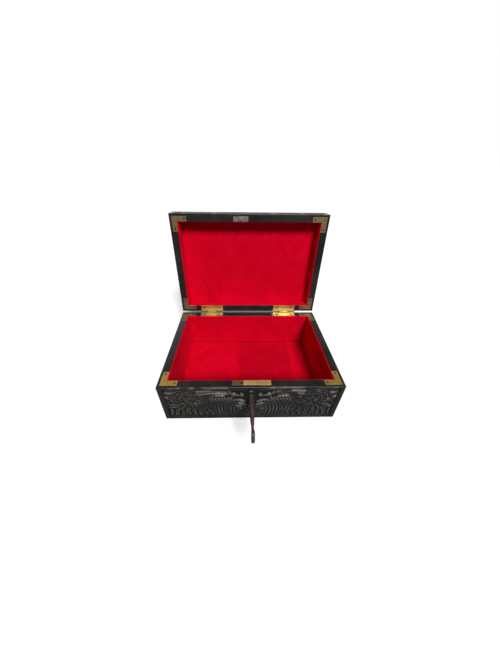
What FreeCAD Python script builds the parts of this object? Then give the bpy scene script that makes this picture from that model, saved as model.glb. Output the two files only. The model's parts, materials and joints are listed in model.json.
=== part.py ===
"""Jewelry box: hardwood base and hinged lid with mitred corners, velvet linings, brass mounts, lock and key.

Millimetres, +Z up. The origin is the centre of the base's underside, +X is to the right of someone who
faces the lock, and +Y is to the back, where the hinges are. The lid's pieces are drawn on the closed
box and then swung back about the hinge pins to the angle at which the hinges stop.
"""

import FreeCAD, Part
import os
import Sketcher

from FreeCAD import Placement, Rotation, Vector

DIMENSIONS = {
    # the wooden box
    "box_width": 300,
    "box_depth": 205,
    "base_height": 88.5,
    "lid_height": 33,
    "wall": 14,
    "bottom_board": 8,
    "top_board": 9,
    "rim_gap": 0.3,
    "open_angle": 95,
    # the velvet-covered lining panels
    "lining": 2,
    "floor_pad": 2.5,
    "lining_drop": 0.5,
    # flush brass corner brackets on both rims
    "plate": 1.2,
    "bracket_margin": 4.5,
    "bracket_reach": 32,
    "bracket_screw_reach": 27.5,
    # countersunk wood screws
    "screw_head": 1.7,
    "screw_shank": 0.8,
    "countersink": 0.9,
    "screw_length": 9,
    # stopped butt hinges
    "leaf_near": 58,
    "leaf_length": 49.5,
    "knuckle_length": 15.5,
    "knuckle_gap": 0.2,
    "barrel_radius": 2.1,
    "pin_radius": 0.8,
    "pin_clearance": 0.05,
    "pin_setback": 2.2,
    "pin_head": 0.6,
    "heel_start": 1.2,
    "heel_reach": 4.5,
    "heel_thickness": 1,
    "stop_clearance": 0.03,
    "leaf_screw_pitch": 31.5,
    "leaf_screw_in": 8.68,
    # box lock: the parts' distances are inward from the box's front face, or down from the base's rim
    "lock_plate": 1.5,
    "selvedge_half": 31.4,
    "selvedge_margin": 4.7,
    "back_plate_half": 30,
    "back_plate_drop": 42.5,
    "lock_screw_x": 26,
    "lock_screw_high": 7.5,
    "lock_screw_low": 36.5,
    "case_half": 22,
    "case_front": 5.5,
    "case_drop": 38.5,
    "case_sheet": 1,
    "lock_layer": 9.35,
    "keyhole_x": -0.5,
    "keyhole_z": 68,
    # hook on the lid and the hole that it drops through
    "hook_x": -16,
    "hook_thick": 3,
    "hook_wide": 3.6,
    "hook_drop": 14.4,
    "hook_taper": 4,
    "hook_tip": 0.6,
    "hole_wide": 4.4,
    "hole_deep": 4.8,
    "eye_wide": 2,
    "eye_top": 6.2,
    "eye_bottom": 12.4,
    "link_left": -31,
    "link_right": -3,
    "link_screw_in": 3.7,
    # sliding bolt
    "bolt_thick": 1.6,
    "bolt_low": 73.5,
    "bolt_high": 83.5,
    "bolt_right": 16,
    "bolt_shoulder": -7,
    "nose_tip": -13.2,
    "nose_low": 77,
    "nose_high": 82,
    "bolt_travel": 6,
    "talon_x": 3,
    "talon_radius": 10,
    "guide_x": 2.5,
    "guide_z": 80.8,
    "guide_radius": 1,
    "guide_clearance": 0.15,
    "spring_x": 9,
    "spring_rise": 2.6,
    "spring_half": 6,
    "spring_sheet": 0.4,
    # revolving barrel, drill pin and keyhole
    "barrel_outer": 5.5,
    "barrel_inner": 3.75,
    "barrel_end_gap": 0.2,
    "barrel_fit": 0.1,
    "bit_slot": 2.8,
    "wood_slot": 3,
    "slot_reach": 9,
    "drill_radius": 1.5,
    "drill_front": 6,
    "keyhole_radius": 4.1,
    # oval keyhole plate
    "escutcheon_half_width": 7,
    "escutcheon_half_height": 9.25,
    "escutcheon_drop": 1.7,
    "escutcheon_sheet": 1,
    "escutcheon_proud": 0.4,
    "escutcheon_pin_x": 5.4,
    "escutcheon_pin_length": 5,
    # pipe key: lengths run from the box's front face, outward unless they say inward
    "shank_radius": 3.5,
    "shank_waist": 3.1,
    "neck_radius": 2,
    "taper_start": 26,
    "taper_end": 42,
    "neck_start": 51,
    "shank_inward": 12.2,
    "pipe_radius": 1.7,
    "pipe_depth": 8.4,
    "bit_thick": 2.2,
    "bit_reach": 8.5,
    "bit_root": 2.5,
    "bit_start": 7,
    "bit_end": 12,
    "ward_start": 9,
    "ward_end": 10,
    "ward_depth": 2.4,
    "bow_centre": 64.7,
    "bow_half_length": 7.5,
    "bow_half_height": 10.5,
    "bow_bar": 4,
    "bow_thick": 4.6,
    "bow_round": 1.2,
}

doc = FreeCAD.newDocument("jewelry_box")
size = doc.addObject("Spreadsheet::Sheet", "size")
for row, (alias, number) in enumerate(DIMENSIONS.items(), start=1):
    size.set(f"A{row}", alias)
    size.set(f"B{row}", str(number))
    size.setAlias(f"B{row}", alias)
doc.recompute()

# places that several pieces share
FRONT = "-size.box_depth / 2"
BACK = "size.box_depth / 2"
RIM = "size.base_height"
LID_RIM = "(size.base_height + size.rim_gap)"
LID_TOP = "(size.base_height + size.rim_gap + size.lid_height)"
PIN_Y = "(size.box_depth / 2 + size.pin_setback)"
PIN_Z = "(size.base_height + size.rim_gap / 2)"
LOCK_Y = "(size.lock_layer - size.box_depth / 2)"
INNER_FRONT = "(size.wall - size.box_depth / 2)"

SIDES = {
    "front": ((-1, -1), (1, -1)),
    "right": ((1, -1), (1, 1)),
    "back": ((1, 1), (-1, 1)),
    "left": ((-1, 1), (-1, -1)),
}
CORNERS = {
    "front_left": (-1, -1),
    "front_right": (1, -1),
    "back_left": (-1, 1),
    "back_right": (1, 1),
}
HANDS = {"left": -1, "right": 1}

ALONG = {
    "x": Rotation(Vector(0, 0, 1), Vector(1, 0, 0)),
    "y": Rotation(Vector(0, 0, 1), Vector(0, 1, 0)),
    "z": Rotation(),
    "-z": Rotation(Vector(1, 0, 0), 180),
    "-y": Rotation(Vector(0, 0, 1), Vector(0, -1, 0)),
}
nodes = {}


def value(expression):
    """The number that an expression over the sheet gives."""
    return float(size.evalExpression(expression))


def bind(thing, **expressions):
    """Ties a thing's sizes to expressions over the sheet."""
    for name, expression in expressions.items():
        thing.setExpression(name, expression)
    return thing


def put(thing, where, turn=None):
    """Turns a thing and ties its place to three expressions."""
    if turn is not None:
        thing.Placement = Placement(Vector(), turn)
    for axis, expression in zip("xyz", where):
        thing.setExpression(f"Placement.Base.{axis}", expression)
    return thing


def swing(thing, sense):
    """Turns a thing about the hinge pins by the opening angle: sense -1 opens the lid, 1 closes it."""
    turn = "cos(size.open_angle * 1 deg)"
    rise = f"({sense}) * sin(size.open_angle * 1 deg)"
    thing.Placement = Placement(Vector(), Rotation(Vector(sense, 0, 0), value("size.open_angle")))
    thing.setExpression("Placement.Rotation.Angle", "size.open_angle * 1 deg")
    thing.setExpression("Placement.Base.y", f"{PIN_Y} * (1 - {turn}) + {PIN_Z} * {rise}")
    thing.setExpression("Placement.Base.z", f"{PIN_Z} * (1 - {turn}) - {PIN_Y} * {rise}")
    return thing


def keep(label, thing, on_lid=False):
    """Names a finished sub-part, and swings it open if it belongs to the lid."""
    thing.Label = label
    nodes[label] = swing(thing, -1) if on_lid else thing


def block(name, low, high):
    """A box between two corners, each given as three expressions."""
    box = put(doc.addObject("Part::Box", name), low)
    sides = [f"({end}) - ({start})" for start, end in zip(low, high)]
    return bind(box, Length=sides[0], Width=sides[1], Height=sides[2])


def rod(name, radius, length, where, along):
    """A cylinder that starts at a place and runs along an axis."""
    cylinder = put(doc.addObject("Part::Cylinder", name), where, ALONG[along])
    return bind(cylinder, Radius=radius, Height=length)


def fuse(name, things):
    union = doc.addObject("Part::MultiFuse", name)
    union.Shapes = things
    union.Refine = True
    return union


def cut(name, base, tool):
    difference = doc.addObject("Part::Cut", name)
    difference.Base = base
    difference.Tool = tool
    return difference


def group(name, things):
    compound = doc.addObject("Part::Compound", name)
    compound.Links = things
    return compound


def sketch_polygon(sketch, points):
    """Adds a closed outline to a sketch, each corner tied to the sheet by its distances from the origin."""
    numbers = [Vector(value(x), value(y), 0) for x, y in points]
    first = sketch.GeometryCount
    count = len(points)
    for i in range(count):
        sketch.addGeometry(Part.LineSegment(numbers[i], numbers[(i + 1) % count]), False)
    for i in range(count):
        following = first + (i + 1) % count
        sketch.addConstraint(Sketcher.Constraint("Coincident", first + i, 2, following, 1))
    for i, (x, y) in enumerate(points):
        for kind, expression in (("DistanceX", x), ("DistanceY", y)):
            distance = Sketcher.Constraint(kind, -1, 1, first + i, 1, value(expression))
            index = sketch.addConstraint(distance)
            sketch.setExpression(f"Constraints[{index}]", expression)


def new_sketch(body, name, plane, offset="0"):
    """A sketch on one of a body's origin planes, moved along that plane's normal."""
    sketch = body.newObject("Sketcher::SketchObject", name)
    support = next(f for f in body.Origin.OriginFeatures if f.Role == plane)
    sketch.AttachmentSupport = [(support, "")]
    sketch.MapMode = "FlatFace"
    sketch.setExpression("AttachmentOffset.Base.z", offset)
    return sketch


def slab(name, points, low, height):
    """A body that pads one outline upward from a level."""
    body = doc.addObject("PartDesign::Body", name)
    sketch = new_sketch(body, f"{name}_outline", "XY_Plane", low)
    sketch_polygon(sketch, points)
    pad = body.newObject("PartDesign::Pad", f"{name}_pad")
    pad.Profile = sketch
    sketch.Visibility = False
    pad.setExpression("Length", height)
    return body


def corner(signs, inset_x, inset_y=None):
    """A point set in from one corner of the box's plan."""
    return (
        f"{signs[0]} * (size.box_width / 2 - ({inset_x}))",
        f"{signs[1]} * (size.box_depth / 2 - ({inset_y or inset_x}))",
    )


def ring_panel(name, side, outer, inner, low, high):
    """One side of a mitred ring, between two distances in from the box's edge and two levels."""
    start, end = SIDES[side]
    outline = [corner(start, outer), corner(end, outer), corner(end, inner), corner(start, inner)]
    return slab(name, outline, low, f"({high}) - ({low})")


def bracket_blank(name, signs, low):
    """An L-shaped plate about one corner of the rim, before its screw holes."""
    margin, reach, wall = "size.bracket_margin", "size.bracket_reach", "size.wall"
    outline = [
        corner(signs, margin, margin),
        corner(signs, reach, margin),
        corner(signs, reach, wall),
        corner(signs, wall, wall),
        corner(signs, wall, reach),
        corner(signs, margin, reach),
    ]
    return slab(name, outline, low, "size.plate")


def screw(name, where, into):
    """A countersunk wood screw whose head is flush at a place and whose shank runs into the wood."""
    head = put(doc.addObject("Part::Cone", f"{name}_head"), where, ALONG[into])
    bind(head, Radius1="size.screw_head", Radius2="size.screw_shank", Height="size.countersink")
    shank = rod(f"{name}_shank", "size.screw_shank", "size.screw_length", where, into)
    return fuse(name, [head, shank])


def rim_screws(name, places, level, into):
    """Screws at places in a rim's plan, all at one level."""
    return [screw(f"{name}_{i}", (x, y, level), into) for i, (x, y) in enumerate(places)]


def bracket_screw_places():
    """Where the screws of the corner brackets stand: two a bracket, corner by corner."""
    across = "(size.wall + size.bracket_margin) / 2"
    far = "size.bracket_screw_reach"
    places = []
    for signs in CORNERS.values():
        places += [corner(signs, far, across), corner(signs, across, far)]
    return places


def leaf_screw_places():
    """Where the screws of the hinge leaves stand: two a leaf, side by side."""
    middle = "(size.leaf_near + size.leaf_length / 2)"
    line = f"{BACK} - size.leaf_screw_in"
    places = []
    for hand in HANDS.values():
        for side in (-1, 1):
            places.append((f"{hand} * ({middle} + {side} * size.leaf_screw_pitch / 2)", line))
    return places


def leaf_blank(name, hand, low):
    """The flat of a hinge leaf, let into the rim above or below the joint line."""
    near, far = "size.leaf_near", "(size.leaf_near + size.leaf_length)"
    ends = (near, far) if hand > 0 else (f"-{far}", f"-{near}")
    inner = f"{BACK} - size.wall"
    return block(name, (ends[0], inner, low), (ends[1], BACK, f"{low} + size.plate"))


def knuckles(hand):
    """The stretches of the hinge barrel, along X: the outer pair, then the middle one."""
    near, far = "size.leaf_near", "(size.leaf_near + size.leaf_length)"
    start, end = (near, far) if hand > 0 else (f"-{far}", f"-{near}")
    outer = [
        (start, f"{start} + size.knuckle_length"),
        (f"{end} - size.knuckle_length", end),
    ]
    inner = (outer[0][1] + " + size.knuckle_gap", outer[1][0] + " - size.knuckle_gap")
    return outer, inner, (start, end)


def knuckle(name, span, plate_low):
    """One stretch of barrel with its tab to the leaf."""
    length = f"({span[1]}) - ({span[0]})"
    barrel = rod(f"{name}_barrel", "size.barrel_radius", length, (span[0], PIN_Y, PIN_Z), "x")
    tab = block(
        f"{name}_tab",
        (span[0], BACK, plate_low),
        (span[1], PIN_Y, f"{plate_low} + size.plate"),
    )
    return [barrel, tab]


def heel(name, span, start, low):
    """A stop heel behind the barrel, level when the lid is open."""
    far = f"{PIN_Y} + size.heel_reach"
    return block(name, (span[0], f"{PIN_Y} + {start}", low), (span[1], far, f"{low} + size.heel_thickness"))


def make_hinge(side, base_blank, lid_blank, base_screws, lid_screws):
    """A stopped butt hinge: two leaves, a pin, and heels that meet at the opening angle."""
    hand = HANDS[side]
    outer, inner, whole = knuckles(hand)
    name = f"hinge_{side}"
    bore = rod(f"{name}_bore", "size.pin_radius", "size.leaf_length", (whole[0], PIN_Y, PIN_Z), "x")

    base_heel_low = f"{PIN_Z} - size.stop_clearance - size.heel_thickness"
    base_parts = [base_blank]
    for i, span in enumerate(outer):
        base_parts += knuckle(f"{name}_outer_{i}", span, f"{RIM} - size.plate")
        base_parts.append(heel(f"{name}_base_heel_{i}", span, "size.heel_start", base_heel_low))
    base_leaf = cut(f"{name}_base_bored", fuse(f"{name}_base_solid", base_parts), bore)
    keep(f"{name}_base_leaf", cut(f"{name}_base", base_leaf, base_screws))

    running = "size.pin_radius + size.pin_clearance"
    lid_bore = rod(f"{name}_lid_bore", running, "size.leaf_length", (whole[0], PIN_Y, PIN_Z), "x")
    lid_heel_low = f"{PIN_Z} + size.stop_clearance"
    clear = "(size.barrel_radius + size.knuckle_gap)"
    heels = fuse(
        f"{name}_lid_heels",
        [
            heel(f"{name}_lid_heel", inner, "size.heel_start", lid_heel_low),
            heel(f"{name}_lid_heel_bar", whole, clear, lid_heel_low),
        ],
    )
    lid_parts = [lid_blank, swing(heels, 1)]
    lid_parts += knuckle(f"{name}_inner", inner, LID_RIM)
    lid_leaf = cut(f"{name}_lid_bored", fuse(f"{name}_lid_solid", lid_parts), lid_bore)
    keep(f"{name}_lid_leaf", cut(f"{name}_lid", lid_leaf, lid_screws), on_lid=True)

    start = (f"{whole[0]} - size.pin_head", PIN_Y, PIN_Z)
    pin = rod(f"{name}_pin_rod", "size.pin_radius", "size.leaf_length + 2 * size.pin_head", start, "x")
    keep(f"{name}_pin", pin)


def keyhole(name, radius, slot, front, back):
    """A keyhole through a plate between two distances from the front face: a round hole and a slot below."""
    start = f"{FRONT} + {front}"
    round_hole = rod(
        f"{name}_round", radius, f"{back} - ({front})", ("size.keyhole_x", start, "size.keyhole_z"), "y"
    )
    bit_slot = block(
        f"{name}_slot",
        (f"size.keyhole_x - {slot} / 2", start, "size.keyhole_z - size.slot_reach"),
        (f"size.keyhole_x + {slot} / 2", f"{FRONT} + {back}", "size.keyhole_z"),
    )
    return fuse(name, [round_hole, bit_slot])


def make_lock():
    """The box lock let into the base's front wall. Returns what is cut from that wall for it."""
    under = f"{RIM} - size.lock_plate"
    plate_front = "size.wall - size.lock_plate"
    back_plate_y = f"{FRONT} + {plate_front}"

    selvedge = block(
        "selvedge_blank",
        ("-size.selvedge_half", f"{FRONT} + size.selvedge_margin", under),
        ("size.selvedge_half", INNER_FRONT, RIM),
    )
    hook_hole = block(
        "hook_hole",
        ("size.hook_x - size.hole_wide / 2", f"{LOCK_Y} - size.hole_deep / 2", under),
        ("size.hook_x + size.hole_wide / 2", f"{LOCK_Y} + size.hole_deep / 2", RIM),
    )
    keep("lock_selvedge", cut("selvedge_cut", selvedge, hook_hole))

    screws = group(
        "lock_screw_group",
        [
            screw(f"lock_screw_{i}", (f"{side} * size.lock_screw_x", INNER_FRONT, f"{RIM} - {drop}"), "-y")
            for i, (side, drop) in enumerate(
                (side, drop) for side in (-1, 1) for drop in ("size.lock_screw_high", "size.lock_screw_low")
            )
        ],
    )
    keep("lock_screws", screws)

    drill = rod(
        "drill",
        "size.drill_radius",
        "size.wall - size.drill_front",
        ("size.keyhole_x", f"{FRONT} + size.drill_front", "size.keyhole_z"),
        "y",
    )
    keep("lock_drill_pin", drill)
    guide_front = "size.lock_layer - size.bolt_thick"
    guide = rod(
        "guide",
        "size.guide_radius",
        f"size.wall - ({guide_front})",
        ("size.guide_x", f"{FRONT} + {guide_front}", "size.guide_z"),
        "y",
    )
    keep("lock_bolt_guide", guide)

    back_plate = block(
        "back_plate_blank",
        ("-size.back_plate_half", back_plate_y, f"{RIM} - size.back_plate_drop"),
        ("size.back_plate_half", INNER_FRONT, under),
    )
    back_plate_holes = fuse("back_plate_holes", [*screws.Links, drill, guide])
    keep("lock_back_plate", cut("back_plate_cut", back_plate, back_plate_holes))

    case_low = f"{RIM} - size.case_drop"
    case_outer = block(
        "case_outer",
        ("-size.case_half", f"{FRONT} + size.case_front", case_low),
        ("size.case_half", back_plate_y, under),
    )
    case_inner = block(
        "case_inner",
        (
            "-size.case_half + size.case_sheet",
            f"{FRONT} + size.case_front + size.case_sheet",
            f"{case_low} + size.case_sheet",
        ),
        ("size.case_half - size.case_sheet", back_plate_y, under),
    )
    case_hole = keyhole(
        "case_keyhole", "size.barrel_outer + size.barrel_fit", "size.bit_slot", "size.case_front", plate_front
    )
    case_inside = fuse("case_inside", [case_inner, case_hole])
    keep("lock_case", cut("case_cut", case_outer, case_inside))
    make_bolt()
    make_barrel(plate_front)
    wood_hole = keyhole("wood_keyhole", "size.keyhole_radius", "size.wood_slot", "0", "size.case_front")
    return [selvedge, back_plate, case_outer, wood_hole, *screws.Links]


def make_bolt():
    """The sliding bolt, its round talon, its guide slot, and the bow spring on its top edge."""
    near = f"{LOCK_Y} - size.bolt_thick / 2"
    far = f"{LOCK_Y} + size.bolt_thick / 2"
    body = block(
        "bolt_body",
        ("size.bolt_shoulder", near, "size.bolt_low"),
        ("size.bolt_right", far, "size.bolt_high"),
    )
    nose = block("bolt_nose", ("size.nose_tip", near, "size.nose_low"), ("0", far, "size.nose_high"))
    talon = rod(
        "bolt_talon", "size.talon_radius", "size.bolt_thick", ("size.talon_x", near, "size.keyhole_z"), "y"
    )
    half = "(size.guide_radius + size.guide_clearance)"
    slot = block(
        "bolt_slot",
        (f"size.guide_x - {half}", near, f"size.guide_z - {half}"),
        (f"size.guide_x + size.bolt_travel + {half}", far, f"size.guide_z + {half}"),
    )
    keep("lock_bolt", cut("bolt_cut", fuse("bolt_solid", [body, nose]), fuse("bolt_voids", [talon, slot])))

    bow = "((size.spring_half ^ 2 + size.spring_rise ^ 2) / (2 * size.spring_rise))"
    centre = ("size.spring_x", near, f"size.bolt_high + size.spring_rise - {bow}")
    outer = rod("spring_outer", bow, "size.bolt_thick", centre, "y")
    inner = rod("spring_inner", f"{bow} - size.spring_sheet", "size.bolt_thick", centre, "y")
    above = block(
        "spring_zone",
        ("size.spring_x - 2 * size.spring_half", near, "size.bolt_high"),
        ("size.spring_x + 2 * size.spring_half", far, "size.bolt_high + 2 * size.spring_rise"),
    )
    arch = doc.addObject("Part::Common", "spring_arch")
    arch.Base = cut("spring_ring", outer, inner)
    arch.Tool = above
    keep("lock_bolt_spring", arch)


def make_barrel(plate_front):
    """The revolving barrel about the key's shank, slotted for the bit."""
    start = "size.case_front + size.barrel_end_gap"
    end = f"{plate_front} - size.barrel_end_gap"
    centre = ("size.keyhole_x", f"{FRONT} + {start}", "size.keyhole_z")
    outer = rod("barrel_outside", "size.barrel_outer", f"{end} - ({start})", centre, "y")
    inner = rod("barrel_inside", "size.barrel_inner", f"{end} - ({start})", centre, "y")
    slot = block(
        "barrel_slot",
        ("size.keyhole_x - size.bit_slot / 2", f"{FRONT} + {start}", "size.keyhole_z - size.slot_reach"),
        ("size.keyhole_x + size.bit_slot / 2", f"{FRONT} + {end}", "size.keyhole_z"),
    )
    keep("lock_barrel", cut("barrel_cut", outer, fuse("barrel_voids", [inner, slot])))


def make_escutcheon():
    """The oval keyhole plate, let into the front face, and its two pins. Returns both for the wood's recess."""
    oval = doc.addObject("Part::Ellipse", "escutcheon_oval")
    bind(oval, MajorRadius="size.escutcheon_half_height", MinorRadius="size.escutcheon_half_width")
    plate_y = f"{FRONT} - size.escutcheon_proud"
    put(
        oval,
        ("size.keyhole_x", plate_y, "size.keyhole_z - size.escutcheon_drop"),
        Rotation(Vector(1, 1, 1), -120),
    )
    plate = doc.addObject("Part::Extrusion", "escutcheon_blank")
    plate.Base = oval
    plate.DirMode = "Custom"
    plate.Dir = Vector(0, 1, 0)
    plate.Solid = True
    plate.setExpression("LengthFwd", "size.escutcheon_sheet")
    hole = keyhole(
        "escutcheon_keyhole",
        "size.keyhole_radius",
        "size.wood_slot",
        "-size.escutcheon_proud",
        "size.escutcheon_sheet",
    )
    pins = [
        rod(
            f"escutcheon_pin_{i}",
            "size.screw_shank / 2",
            "size.escutcheon_pin_length",
            (f"size.keyhole_x + {side} * size.escutcheon_pin_x", plate_y, "size.keyhole_z - size.escutcheon_drop"),
            "y",
        )
        for i, side in enumerate((-1, 1))
    ]
    keep("escutcheon_pins", group("escutcheon_pin_group", pins))
    keep("escutcheon", cut("escutcheon_cut", plate, fuse("escutcheon_voids", [hole, *pins])))
    return [plate, *pins]


def make_key():
    """The pipe key: a bored, tapering shank with its bit down, and an upright oval bow."""
    body = doc.addObject("PartDesign::Body", "key_shank")
    sketch = new_sketch(body, "key_profile", "YZ_Plane")
    inner = "size.shank_inward"
    outline = [
        (inner, "size.pipe_radius"),
        (inner, "size.shank_radius"),
        ("-size.taper_start", "size.shank_radius"),
        ("-size.taper_end", "size.shank_waist"),
        ("-size.neck_start", "size.neck_radius"),
        ("-(size.bow_centre - size.bow_half_length + size.bow_bar / 2)", "size.neck_radius"),
        ("-(size.bow_centre - size.bow_half_length + size.bow_bar / 2)", "0"),
        (f"{inner} - size.pipe_depth", "0"),
        (f"{inner} - size.pipe_depth", "size.pipe_radius"),
    ]
    sketch_polygon(sketch, outline)
    turned = body.newObject("PartDesign::Revolution", "key_turned")
    turned.Profile = sketch
    turned.ReferenceAxis = (sketch, ["H_Axis"])
    turned.Angle = 360

    bit_blank = block(
        "bit_blank",
        ("-size.bit_thick / 2", "size.bit_start", "-size.bit_reach"),
        ("size.bit_thick / 2", "size.bit_end", "-size.bit_root"),
    )
    ward = block(
        "bit_ward",
        ("-size.bit_thick / 2", "size.ward_start", "-size.bit_reach"),
        ("size.bit_thick / 2", "size.ward_end", "-size.bit_reach + size.ward_depth"),
    )
    bit = cut("key_bit", bit_blank, ward)

    rings = []
    for name, inset in (("outer", "0"), ("inner", "size.bow_bar")):
        oval = doc.addObject("Part::Ellipse", f"bow_{name}")
        bind(
            oval,
            MajorRadius=f"size.bow_half_height - {inset}",
            MinorRadius=f"size.bow_half_length - {inset}",
        )
        put(oval, ("size.bow_thick / 2", "-size.bow_centre", "0"), Rotation(Vector(0, 1, 0), -90))
        ring = doc.addObject("Part::Extrusion", f"bow_{name}_solid")
        ring.Base = oval
        ring.DirMode = "Custom"
        ring.Dir = Vector(-1, 0, 0)
        ring.Solid = True
        ring.setExpression("LengthFwd", "size.bow_thick")
        rings.append(ring)
    square_bow = cut("bow_square", *rings)
    doc.recompute()
    bow = doc.addObject("Part::Fillet", "bow_rounded")
    bow.Base = square_bow
    radius = value("size.bow_round")
    ovals = [i + 1 for i, edge in enumerate(square_bow.Shape.Edges) if edge.isClosed()]
    bow.Edges = [(i, radius, radius) for i in ovals]
    key = fuse("key_solid", [body, bit, bow])
    put(key, ("size.keyhole_x", FRONT, "size.keyhole_z"))
    keep("key", key)


def make_link_plate():
    """The plate let into the lid's front rim, with the hook that the bolt passes through."""
    low, high = LID_RIM, f"{LID_RIM} + size.lock_plate"
    blank = block(
        "link_blank",
        ("size.link_left", f"{FRONT} + size.selvedge_margin", low),
        ("size.link_right", INNER_FRONT, high),
    )
    body = doc.addObject("PartDesign::Body", "hook_blank")
    sketch = new_sketch(body, "hook_outline", "YZ_Plane", "size.hook_x - size.hook_thick / 2")
    half = "size.hook_wide / 2"
    taper_z = f"{LID_RIM} - size.hook_drop + size.hook_taper"
    sketch_polygon(
        sketch,
        [
            (f"{LOCK_Y} - {half}", high),
            (f"{LOCK_Y} - {half}", taper_z),
            (f"{LOCK_Y} - size.hook_tip", f"{LID_RIM} - size.hook_drop"),
            (f"{LOCK_Y} + size.hook_tip", f"{LID_RIM} - size.hook_drop"),
            (f"{LOCK_Y} + {half}", taper_z),
            (f"{LOCK_Y} + {half}", high),
        ],
    )
    pad = body.newObject("PartDesign::Pad", "hook_pad")
    pad.Profile = sketch
    pad.setExpression("Length", "size.hook_thick")
    eye = block(
        "hook_eye",
        ("size.hook_x - size.hook_thick", f"{LOCK_Y} - size.eye_wide / 2", f"{LID_RIM} - size.eye_bottom"),
        ("size.hook_x + size.hook_thick", f"{LOCK_Y} + size.eye_wide / 2", f"{LID_RIM} - size.eye_top"),
    )
    places = [
        ("size.link_left + size.link_screw_in", LOCK_Y),
        ("size.link_right - size.link_screw_in", LOCK_Y),
    ]
    screws = rim_screws("link_screw", places, LID_RIM, "z")
    voids = fuse("link_voids", [eye, *screws])
    keep("link_plate", cut("link_cut", fuse("link_solid", [blank, body]), voids), on_lid=True)
    keep("link_plate_screws", group("link_screw_group", screws), on_lid=True)
    return [blank, *screws]


def make_half(half, rim, into, plate_low):
    """The inlaid corner brackets and all screws of the base or the lid, and the blanks of its hinge leaves."""
    blanks = {name: bracket_blank(f"{half}_{name}_blank", signs, plate_low) for name, signs in CORNERS.items()}
    leaves = {side: leaf_blank(f"{half}_{side}_leaf", hand, plate_low) for side, hand in HANDS.items()}
    bracket_screws = rim_screws(f"{half}_bracket_screw", bracket_screw_places(), rim, into)
    leaf_screws = rim_screws(f"{half}_leaf_screw", leaf_screw_places(), rim, into)
    on_lid = half == "lid"
    for i, (name, blank) in enumerate(blanks.items()):
        own = fuse(f"{half}_{name}_holes", bracket_screws[2 * i : 2 * i + 2])
        keep(f"{half}_bracket_{name}", cut(f"{half}_{name}_cut", blank, own), on_lid)
    keep(f"{half}_bracket_screws", group(f"{half}_bracket_screw_group", bracket_screws), on_lid)
    keep(f"{half}_hinge_screws", group(f"{half}_hinge_screw_group", leaf_screws), on_lid)
    return blanks, leaves, bracket_screws, leaf_screws


base_blanks, base_leaves, base_bracket_screws, base_leaf_screws = make_half(
    "base", RIM, "-z", f"({RIM} - size.plate)"
)
lid_blanks, lid_leaves, lid_bracket_screws, lid_leaf_screws = make_half("lid", LID_RIM, "z", LID_RIM)
for number, side in enumerate(HANDS):
    own = slice(2 * number, 2 * number + 2)
    make_hinge(
        side,
        base_leaves[side],
        lid_leaves[side],
        fuse(f"hinge_{side}_base_holes", base_leaf_screws[own]),
        fuse(f"hinge_{side}_lid_holes", lid_leaf_screws[own]),
    )
lock_recess = make_lock()
escutcheon_recess = make_escutcheon()
link_recess = make_link_plate()
make_key()

base_recess = fuse(
    "base_recess",
    [*base_blanks.values(), *base_leaves.values(), *base_bracket_screws, *base_leaf_screws],
)
front_recess = fuse("front_recess", [base_recess, *lock_recess, *escutcheon_recess])
lid_recess = fuse(
    "lid_recess",
    [*lid_blanks.values(), *lid_leaves.values(), *lid_bracket_screws, *lid_leaf_screws, *link_recess],
)

LID_UNDER = f"({LID_TOP} - size.top_board)"
LINED = "(size.wall + size.lining)"
FLOOR = "size.bottom_board + size.floor_pad"
BASE_LINING = (FLOOR, f"{RIM} - size.lining_drop")
LID_LINING = (f"{LID_RIM} + size.lining_drop", f"{LID_UNDER} - size.lining")
for side in SIDES:
    board = ring_panel(f"base_{side}_blank", side, "0", "size.wall", "0", RIM)
    recess = front_recess if side == "front" else base_recess
    keep(f"base_{side}_board", cut(f"base_{side}_cut", board, recess))
    board = ring_panel(f"lid_{side}_blank", side, "0", "size.wall", LID_RIM, LID_UNDER)
    keep(f"lid_{side}_board", cut(f"lid_{side}_cut", board, lid_recess), on_lid=True)
    keep(f"base_{side}_lining", ring_panel(f"base_{side}_velvet", side, "size.wall", LINED, *BASE_LINING))
    velvet = ring_panel(f"lid_{side}_velvet", side, "size.wall", LINED, *LID_LINING)
    keep(f"lid_{side}_lining", velvet, on_lid=True)


def plan(name, inset, low, high):
    """A rectangular board set in from the box's edge, between two levels."""
    outline = [corner(start, inset) for start, _ in SIDES.values()]
    return slab(name, outline, low, f"({high}) - ({low})")


keep("base_bottom_board", plan("bottom_blank", "size.wall", "0", "size.bottom_board"))
keep("base_floor_lining", plan("floor_blank", "size.wall", "size.bottom_board", FLOOR))
keep("lid_top_board", plan("top_blank", "0", LID_UNDER, LID_TOP), on_lid=True)
lid_pad = plan("lid_lining_blank", "size.wall", f"{LID_UNDER} - size.lining", LID_UNDER)
keep("lid_top_lining", lid_pad, on_lid=True)

doc.recompute()

failed = [thing.Name for thing in doc.Objects if {"Invalid", "Error"} & set(thing.State)]
if failed:
    raise SystemExit(f"these objects failed to build: {failed}")
for label, thing in nodes.items():
    if thing.Shape.isNull() or not thing.Shape.isValid() or not thing.Shape.Solids:
        raise SystemExit(f"{label} is not a valid solid")

os.makedirs("parts", exist_ok=True)
for label, thing in nodes.items():
    thing.Shape.exportStep(f"parts/{label}.step")
    print(f"{label}: {len(thing.Shape.Solids)} solid(s), {thing.Shape.Volume:.1f} mm3")
print(f"{len(nodes)} sub-parts")
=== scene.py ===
"""Looks of the jewelry box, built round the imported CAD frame: carved ebonised boards, velvet linings,
brass mounts and a rusty key. Lengths are in millimetres until a mesh is made, and metres from there on.
The lid's pieces are drawn on the closed box and then swung back to where the CAD holds the lid at rest.
"""

import json
import math

import bmesh
import bpy
import numpy as np
from mathutils import Matrix, Vector, noise

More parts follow.
